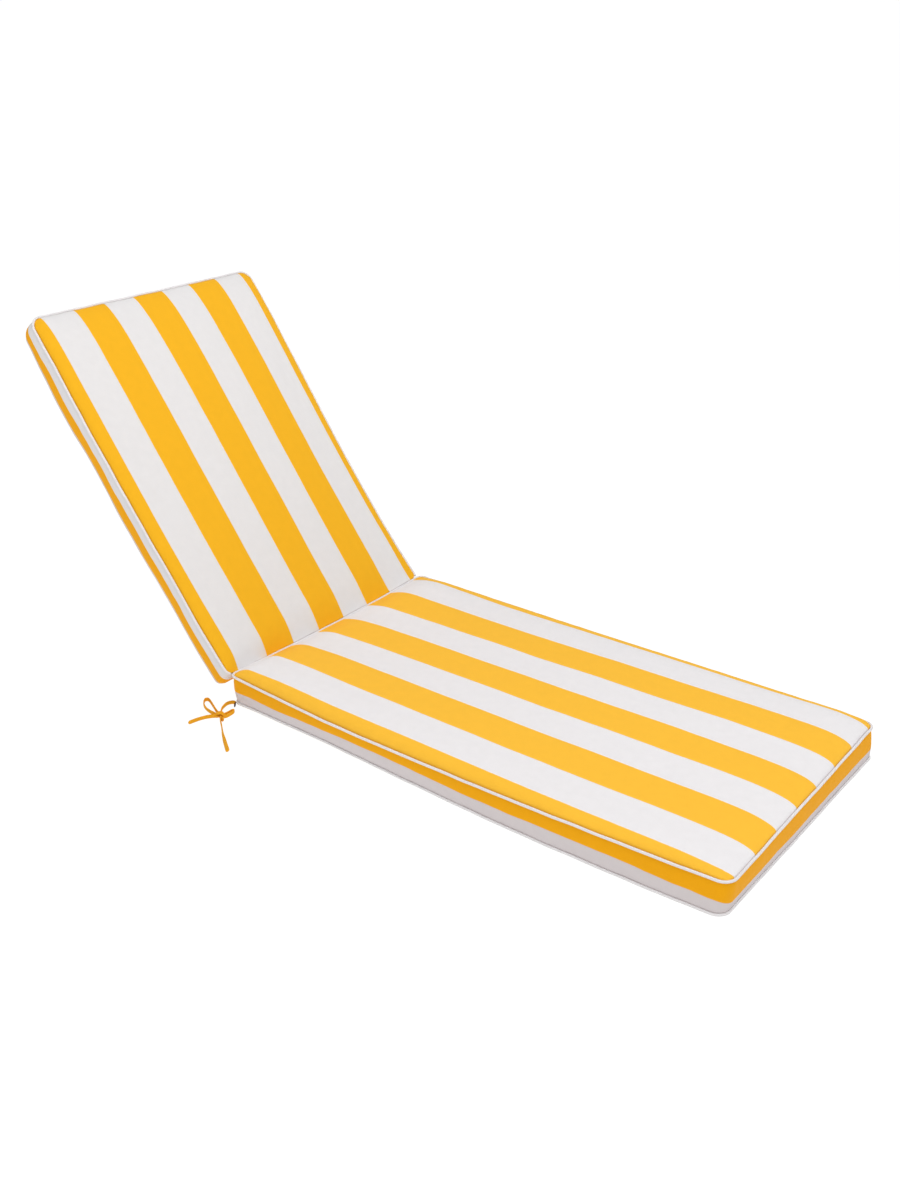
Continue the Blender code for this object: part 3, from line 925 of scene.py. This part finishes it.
def smooth_route(route, step):
    """Returns evenly spaced places on a smooth curve through a route's points."""
    rows = [Vector(row) for row in route]
    rows = [2 * rows[0] - rows[1]] + rows + [2 * rows[-1] - rows[-2]]
    places = []
    for index in range(1, len(rows) - 2):
        before, here, there, after = rows[index - 1:index + 3]
        count = max(round((there - here).xy.length / step), 1)
        for k in range(count):
            t = k / count
            places.append(
                0.5 * (
                    2 * here
                    + (there - before) * t
                    + (2 * before - 5 * here + 4 * there - after) * t ** 2
                    + (3 * here - before - 3 * there + after) * t ** 3
                )
            )
    places.append(rows[-2])
    return places


def tape_piece(name, route, settings, seed):
    """Sweeps the folded tape along a route on the floor and returns it with its centreline."""
    rows = smooth_route(route, TAPE_STEP)
    centres = []
    leans = []
    for row in rows:
        lean = row.z * math.pi / 2
        rise = 0.5 * (settings.width * math.cos(lean) + settings.thickness * math.sin(lean))
        centres.append(Vector((row.x, row.y, rise + FLOOR_GAP)))
        leans.append(lean)

    def up_at(k):
        ahead = centres[min(k + 1, len(centres) - 1)]
        behind = centres[max(k - 1, 0)]
        run = (ahead - behind).normalized()
        lean = leans[k] + 0.12 * ripple(k * TAPE_STEP, 0.02, seed)
        return Vector((-run.y * math.sin(lean), run.x * math.sin(lean), math.cos(lean)))

    def section(run, length):
        half_width = settings.width / 2
        half_thick = settings.thickness / 2
        round_end = min(run, length - run)
        if round_end < half_width:
            share = 1.0 - round_end / half_width
            half_width *= math.sqrt(max(1.0 - 0.8 * share ** 2, 0.1))
            half_thick *= math.sqrt(max(1.0 - 0.6 * share ** 2, 0.1))
        ring = []
        for step in range(TAPE_SIDES):
            angle = 2.0 * math.pi * (step + 0.5) / TAPE_SIDES
            thick = half_thick * math.copysign(abs(math.cos(angle)) ** 0.6, math.cos(angle))
            wide = half_width * math.copysign(abs(math.sin(angle)) ** 0.6, math.sin(angle))
            ring.append((thick, wide))
        return ring

    item = bpy.data.objects.new(name, sweep(name, centres, False, section, up_at))
    return link(item), centres


def knot_piece(settings):
    """Winds the tape in a tight turn round the crossing of the loops and tails."""
    places = []
    for k in range(KNOT_STEPS):
        share = k / (KNOT_STEPS - 1)
        angle = 2.0 * math.pi * KNOT_TURNS * share + 0.6
        spread = KNOT_SPREAD * (share - 0.5)
        places.append(
            KNOT_PLACE
            + Vector((
                KNOT_RADII[0] * math.cos(angle) + spread,
                KNOT_RADII[1] * math.cos(angle) - 0.8 * spread,
                KNOT_RADII[2] * math.sin(angle),
            ))
        )

    def section(_run, _length):
        ring = []
        for step in range(TAPE_SIDES):
            angle = 2.0 * math.pi * (step + 0.5) / TAPE_SIDES
            half_thick = KNOT_THICKNESS / 2
            ring.append((half_thick * math.cos(angle), 0.60 * settings.width * math.sin(angle)))
        return ring

    mesh = sweep("tie_knot", places, False, section, lambda k: KNOT_AXIS)
    return link(bpy.data.objects.new("tie_knot", mesh))


def new_material(name, roughness):
    """Returns a cloth material's node tree parts: the material, its nodes, links and shader."""
    material = bpy.data.materials.new(name)
    material.use_nodes = True
    tree = material.node_tree
    shader = tree.nodes["Principled BSDF"]
    shader.inputs["Roughness"].default_value = roughness
    shader.inputs["Specular IOR Level"].default_value = SPECULAR
    shader.inputs["Sheen Weight"].default_value = SHEEN
    shader.inputs["Sheen Roughness"].default_value = SHEEN_ROUGHNESS
    return material, tree, shader


def math_node(tree, operation, first, second=None, third=None):
    """Adds a math node fed by sockets or plain numbers and returns its output."""
    node = tree.nodes.new("ShaderNodeMath")
    node.operation = operation
    for index, value in enumerate((first, second, third)):
        if value is None:
            continue
        if isinstance(value, bpy.types.NodeSocket):
            tree.links.new(value, node.inputs[index])
        else:
            node.inputs[index].default_value = value
    return node.outputs[0]


def uv_parts(tree, name):
    """Adds a UV map and returns its vector and its two parts."""
    source = tree.nodes.new("ShaderNodeUVMap")
    source.uv_map = name
    parts = tree.nodes.new("ShaderNodeSeparateXYZ")
    tree.links.new(source.outputs["UV"], parts.inputs[0])
    return source.outputs["UV"], parts.outputs["X"], parts.outputs["Y"]


def noise_node(tree, vector, scale, detail=2.0):
    """Adds a noise texture on a vector and returns its value."""
    node = tree.nodes.new("ShaderNodeTexNoise")
    node.inputs["Scale"].default_value = scale
    node.inputs["Detail"].default_value = detail
    tree.links.new(vector, node.inputs["Vector"])
    return node.outputs[0]


def mix_colours(tree, share, first, second, blend="MIX"):
    """Adds a colour mix fed by sockets or plain colours and returns its output."""
    node = tree.nodes.new("ShaderNodeMix")
    node.data_type = "RGBA"
    node.blend_type = blend
    for socket, value in zip((node.inputs[0], node.inputs[6], node.inputs[7]),
                             (share, first, second)):
        if isinstance(value, bpy.types.NodeSocket):
            tree.links.new(value, socket)
        else:
            socket.default_value = value
    return node.outputs[2]


def weave_height(tree, across, down):
    """Returns a plain weave's height: threads over and under each other."""
    turn = math.pi / THREAD
    warp = math_node(tree, "SINE", math_node(tree, "MULTIPLY", across, turn))
    weft = math_node(tree, "SINE", math_node(tree, "MULTIPLY", down, turn))
    return math_node(tree, "MULTIPLY", warp, weft)


def finish_cloth(tree, shader, colour, vector, across, down):
    """Gives the cloth its slight colour variation and its weave."""
    mottle = noise_node(tree, vector, MOTTLE_SCALE, 4.0)
    shade = tree.nodes.new("ShaderNodeMapRange")
    shade.inputs["To Min"].default_value = MOTTLE_LOW
    shade.inputs["To Max"].default_value = MOTTLE_HIGH
    tree.links.new(mottle, shade.inputs["Value"])
    grey = tree.nodes.new("ShaderNodeCombineColor")
    for socket in grey.inputs[:3]:
        tree.links.new(shade.outputs["Result"], socket)
    varied = mix_colours(tree, 1.0, colour, grey.outputs[0], "MULTIPLY")
    tree.links.new(varied, shader.inputs["Base Color"])
    height = weave_height(tree, across, down)
    slub = noise_node(tree, vector, SLUB_SCALE)
    height = math_node(tree, "MULTIPLY_ADD", slub, 0.8, height)
    bump = tree.nodes.new("ShaderNodeBump")
    bump.inputs["Strength"].default_value = 0.35
    bump.inputs["Distance"].default_value = WEAVE_DEPTH
    tree.links.new(height, bump.inputs["Height"])
    tree.links.new(bump.outputs["Normal"], shader.inputs["Normal"])


def painted_seam_shade(tree, colour, inside):
    """Paints shade into the cloth's colour, darker and deeper, where it turns down into a seam."""
    near = tree.nodes.new("ShaderNodeMapRange")
    near.interpolation_type = "SMOOTHSTEP"
    near.inputs["From Min"].default_value = SEAM_SHADE_START
    near.inputs["From Max"].default_value = SEAM_SHADE_END
    near.inputs["To Min"].default_value = 1.0
    near.inputs["To Max"].default_value = 0.0
    tree.links.new(inside, near.inputs["Value"])
    return mix_colours(tree, near.outputs["Result"], colour, SEAM_SHADE, "MULTIPLY")


def stripe_material(name, white, yellow, repeat, stripe):
    """Canvas with broad stripes along the pad, placed by where one starts and how wide it is."""
    start, width = stripe
    material, tree, shader = new_material(name, 0.82)
    vector, across, down = uv_parts(tree, "cloth")
    drift = noise_node(tree, vector, 140.0, 3.0)
    wobble = math_node(tree, "MULTIPLY_ADD", drift, STRIPE_DRIFT, -STRIPE_DRIFT / 2)
    place = math_node(tree, "ADD", down, wobble)
    centre = start + width / 2
    turns = math_node(tree, "MULTIPLY_ADD", place, 1.0 / repeat, -centre / repeat)
    wrapped = math_node(tree, "WRAP", turns, 0.5, -0.5)
    away = math_node(tree, "ABSOLUTE", wrapped)
    edge = STRIPE_BLUR / repeat
    half = 0.5 * width / repeat
    mask = tree.nodes.new("ShaderNodeMapRange")
    mask.inputs["From Min"].default_value = half - edge
    mask.inputs["From Max"].default_value = half + edge
    mask.inputs["To Min"].default_value = 1.0
    mask.inputs["To Max"].default_value = 0.0
    tree.links.new(away, mask.inputs["Value"])
    colour = mix_colours(tree, mask.outputs["Result"], white, yellow)
    # Painted shade along the seams
    colour = painted_seam_shade(tree, colour, uv_parts(tree, "seam")[1])
    finish_cloth(tree, shader, colour, vector, across, down)
    return material


def band_material(name, white, yellow, yellow_above):
    """Canvas for a side band, yellow on one side of its split and white on the other."""
    material, tree, shader = new_material(name, 0.84)
    vector, across, down = uv_parts(tree, "cloth")
    past = uv_parts(tree, "stripe")[2]
    mask = tree.nodes.new("ShaderNodeMapRange")
    mask.inputs["From Min"].default_value = -SPLIT_BLUR
    mask.inputs["From Max"].default_value = SPLIT_BLUR
    mask.inputs["To Min"].default_value = 1.0 if yellow_above else 0.0
    mask.inputs["To Max"].default_value = 0.0 if yellow_above else 1.0
    tree.links.new(past, mask.inputs["Value"])
    colour = mix_colours(tree, mask.outputs["Result"], white, yellow)
    # Painted shade along the seams
    colour = painted_seam_shade(tree, colour, uv_parts(tree, "seam")[1])
    finish_cloth(tree, shader, colour, vector, across, down)
    return material


def plain_material(name, colour, roughness):
    """One-coloured canvas, for the piping and the tape."""
    material, tree, shader = new_material(name, roughness)
    vector, across, down = uv_parts(tree, "cloth")
    finish_cloth(tree, shader, colour, vector, across, down)
    return material


class LOUNGER_OT_camera(Operator):
    """Places the camera"""

    bl_idname = "lounger.camera"
    bl_label = "Place Camera"

    def execute(self, context):
        azimuth, elevation, roll = CAMERA_AZIMUTH, CAMERA_ELEVATION, CAMERA_ROLL
        back = Vector((
            math.sin(azimuth) * math.cos(elevation),
            -math.cos(azimuth) * math.cos(elevation),
            math.sin(elevation),
        ))
        right = Vector((math.cos(azimuth), math.sin(azimuth), 0.0))
        up = back.cross(right)
        turned_right = right * math.cos(roll) + up * math.sin(roll)
        turned_up = up * math.cos(roll) - right * math.sin(roll)
        rotation = Matrix((turned_right, turned_up, back)).transposed()
        data = bpy.data.cameras.new("camera")
        data.lens = CAMERA_LENS
        data.sensor_width = CAMERA_SENSOR
        data.clip_end = 1000.0
        camera = link(bpy.data.objects.new("camera", data))
        camera.matrix_world = Matrix.Translation(CAMERA_PLACE) @ rotation.to_4x4()
        context.scene.camera = camera
        return {"FINISHED"}


class LOUNGER_OT_tie(Operator):
    """Lays the tape tie and knots it in a bow"""

    bl_idname = "lounger.tie"
    bl_label = "Build Tie"

    def execute(self, context):
        settings = context.scene.lounger_tie
        material = plain_material("tie tape canvas", settings.colour, 0.8)
        strap, strap_path = tape_piece("tie_strap", STRAP_ROUTE, settings, 1.0)
        open_loop, _ = tape_piece("tie_open_loop", OPEN_LOOP_ROUTE, settings, 2.0)
        folded_loop, _ = tape_piece("tie_folded_loop", FOLDED_LOOP_ROUTE, settings, 3.0)
        side_tail, side_path = tape_piece("tie_side_tail", SIDE_TAIL_ROUTE, settings, 4.0)
        front_tail, front_path = tape_piece("tie_front_tail", FRONT_TAIL_ROUTE, settings, 5.0)
        knot_end, _ = tape_piece("tie_knot_end", KNOT_END_ROUTE, settings, 6.0)
        root, _ = tape_piece("tie_root", ROOT_ROUTE, settings, 7.0)
        knot = knot_piece(settings)
        # Painted shadow: the tape's root under the corner is coloured near black for its shade
        dark = plain_material("tie root shadow canvas", settings.root_shadow_colour, 0.85)
        for piece in (strap, open_loop, folded_loop, side_tail, front_tail, knot, knot_end, root):
            piece.data.materials.append(dark if piece is root else material)
            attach(piece, "root")
        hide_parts("tie")
        return {"FINISHED"}


class LOUNGER_OT_pads(Operator):
    """Builds the filled seat and back pads with their striped panels"""

    bl_idname = "lounger.pads"
    bl_label = "Build Pads"

    def execute(self, context):
        cloth = context.scene.lounger_cloth
        looks = (
            # Painted shade: the back takes darker, shaded copies of the seat's colours
            (SEAT, cloth.white, cloth.seat_yellow, cloth.seat_stripe, SEAT_STRIPE, 0.65),
            (BACK, cloth.shaded_back_white, cloth.shaded_back_yellow, cloth.back_stripe, BACK_STRIPE, 0.6),
        )
        for pad, white, yellow, repeat, stripe, fill in looks:
            mesh = pad_mesh(pad, cloth)
            mesh.transform(pad_matrix(pad))
            piece = link(bpy.data.objects.new(pad.name + "_pad", mesh))
            name = pad.name + " striped canvas"
            material = stripe_material(name, white, yellow, repeat, stripe)
            piece.data.materials.append(material)
            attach(piece, "root")
            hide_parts(pad.name + "_cushion")
        return {"FINISHED"}


class LOUNGER_OT_bands(Operator):
    """Sews the side bands round the pads"""

    bl_idname = "lounger.bands"
    bl_label = "Build Side Bands"

    def execute(self, context):
        cloth = context.scene.lounger_cloth
        for pad in (SEAT, BACK):
            mesh = band_mesh(pad, cloth)
            mesh.transform(pad_matrix(pad))
            piece = link(bpy.data.objects.new(pad.name + "_band", mesh))
            name = pad.name + " band canvas"
            # Painted shade: the bands take the darker, shaded copies of the cloth's colours
            white = cloth.shaded_band_white if pad.rests else cloth.shaded_back_white
            piece.data.materials.append(band_material(name, white, cloth.shaded_band_yellow, pad.rests))
            solid = piece.modifiers.new("cloth", "SOLIDIFY")
            solid.thickness = BAND_THICKNESS
            solid.offset = 0.0
            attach(piece, "root")
            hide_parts(pad.name + "_side_band")
        return {"FINISHED"}


class LOUNGER_OT_piping(Operator):
    """Lays the covered cord in every seam"""

    bl_idname = "lounger.piping"
    bl_label = "Build Piping"

    def execute(self, context):
        settings = context.scene.lounger_piping
        material = plain_material("piping canvas", settings.colour, 0.8)
        seams = (
            ("seat_upper_cord", SEAT, seam_points(SEAT, True, PIPING_STEP), True,
             "seat_top_piping"),
            ("seat_lower_cord", SEAT, seam_points(SEAT, False, PIPING_STEP), True,
             "seat_bottom_piping"),
            ("back_front_cord", BACK, back_front_places(settings), False, "back_front_piping"),
            ("back_rear_cord", BACK, seam_points(BACK, False, PIPING_STEP), True,
             "back_rear_piping"),
        )
        for seed, (name, pad, places, closed, node) in enumerate(seams):
            mesh = sweep(name, places, closed, piping_section(settings, 10.0 + 7.0 * seed))
            mesh.transform(pad_matrix(pad))
            piece = link(bpy.data.objects.new(name, mesh))
            piece.data.materials.append(material)
            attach(piece, "root")
            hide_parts(node)
        return {"FINISHED"}


class LOUNGER_OT_stage(Operator):
    """Sets the pale floor and the soft studio light"""

    bl_idname = "lounger.stage"
    bl_label = "Set Stage"

    def execute(self, context):
        settings = context.scene.lounger_stage
        half = settings.floor_size / 2
        corners = [(-half, -half, 0.0), (half, -half, 0.0), (half, half, 0.0), (-half, half, 0.0)]
        mesh = bpy.data.meshes.new("floor")
        mesh.from_pydata(corners, [], [(0, 1, 2, 3)])
        floor = link(bpy.data.objects.new("floor", mesh))
        material = bpy.data.materials.new("pale floor")
        material.use_nodes = True
        shader = material.node_tree.nodes["Principled BSDF"]
        shader.inputs["Base Color"].default_value = (0.12, 0.12, 0.12, 1.0)
        shader.inputs["Roughness"].default_value = 0.9
        shader.inputs["Specular IOR Level"].default_value = 0.0
        shader.inputs["Emission Color"].default_value = (1.0, 1.0, 1.0, 1.0)
        shader.inputs["Emission Strength"].default_value = settings.floor_glow
        mesh.materials.append(material)
        target = Vector((0.0, 0.0, 0.2))
        lamps = (
            ("key", settings.key_power, 3.0, (0.6, -0.2, 3.2)),
            ("side fill", 0.6 * settings.fill_power, 2.5, (-0.8, -3.2, 1.0)),
            ("foot fill", settings.fill_power, 2.5, (1.9, -0.9, 3.0)),
        )
        for name, power, size, place in lamps:
            light = bpy.data.lights.new(name, "AREA")
            light.energy = power
            light.size = size
            lamp = link(bpy.data.objects.new(name, light))
            lamp.location = place
            lamp.rotation_euler = (target - lamp.location).to_track_quat("-Z", "Y").to_euler()
        world = bpy.data.worlds.new("studio")
        world.use_nodes = True
        tree = world.node_tree
        background = tree.nodes["Background"]
        background.inputs["Color"].default_value = (1.0, 1.0, 1.0, 1.0)
        background.inputs["Strength"].default_value = settings.sky
        bright = tree.nodes.new("ShaderNodeBackground")
        bright.inputs["Color"].default_value = (1.0, 1.0, 1.0, 1.0)
        seen = tree.nodes.new("ShaderNodeLightPath")
        either = tree.nodes.new("ShaderNodeMixShader")
        tree.links.new(seen.outputs["Is Camera Ray"], either.inputs["Fac"])
        tree.links.new(background.outputs[0], either.inputs[1])
        tree.links.new(bright.outputs[0], either.inputs[2])
        tree.links.new(either.outputs[0], tree.nodes["World Output"].inputs["Surface"])
        context.scene.world = world
        context.scene.view_settings.view_transform = "Standard"
        return {"FINISHED"}


class LOUNGER_PT_panel(Panel):
    """Lists the cushion's settings and the steps that build it."""

    bl_idname = "LOUNGER_PT_panel"
    bl_label = "Lounger Cushion"
    bl_space_type = "VIEW_3D"
    bl_region_type = "UI"
    bl_category = "Lounger"

    def draw(self, context):
        layout = self.layout
        for name in SETTINGS:
            box = layout.box()
            group = getattr(context.scene, name)
            for key in group.bl_rna.properties.keys():
                if key not in ("rna_type", "name"):
                    box.prop(group, key)
        for step in STEPS:
            layout.operator(step.bl_idname)


STEPS = (
    LOUNGER_OT_camera,
    LOUNGER_OT_tie,
    LOUNGER_OT_pads,
    LOUNGER_OT_bands,
    LOUNGER_OT_piping,
    LOUNGER_OT_stage,
)
SETTINGS = {
    "lounger_cloth": ClothSettings,
    "lounger_piping": PipingSettings,
    "lounger_tie": TieSettings,
    "lounger_stage": StageSettings,
}


def register():
    """Adds the settings, the steps and the panel to Blender."""
    for name, group in SETTINGS.items():
        bpy.utils.register_class(group)
        setattr(bpy.types.Scene, name, PointerProperty(type=group))
    for step in STEPS:
        bpy.utils.register_class(step)
    bpy.utils.register_class(LOUNGER_PT_panel)


def unregister():
    """Takes the settings, the steps and the panel out of Blender again."""
    bpy.utils.unregister_class(LOUNGER_PT_panel)
    for step in reversed(STEPS):
        bpy.utils.unregister_class(step)
    for name, group in SETTINGS.items():
        delattr(bpy.types.Scene, name)
        bpy.utils.unregister_class(group)


def main():
    """Builds the cushion and its stage."""
    register()
    bpy.ops.lounger.camera()
    bpy.ops.lounger.tie()
    bpy.ops.lounger.pads()
    bpy.ops.lounger.bands()
    bpy.ops.lounger.piping()
    bpy.ops.lounger.stage()


if __name__ == "__main__":
    main()
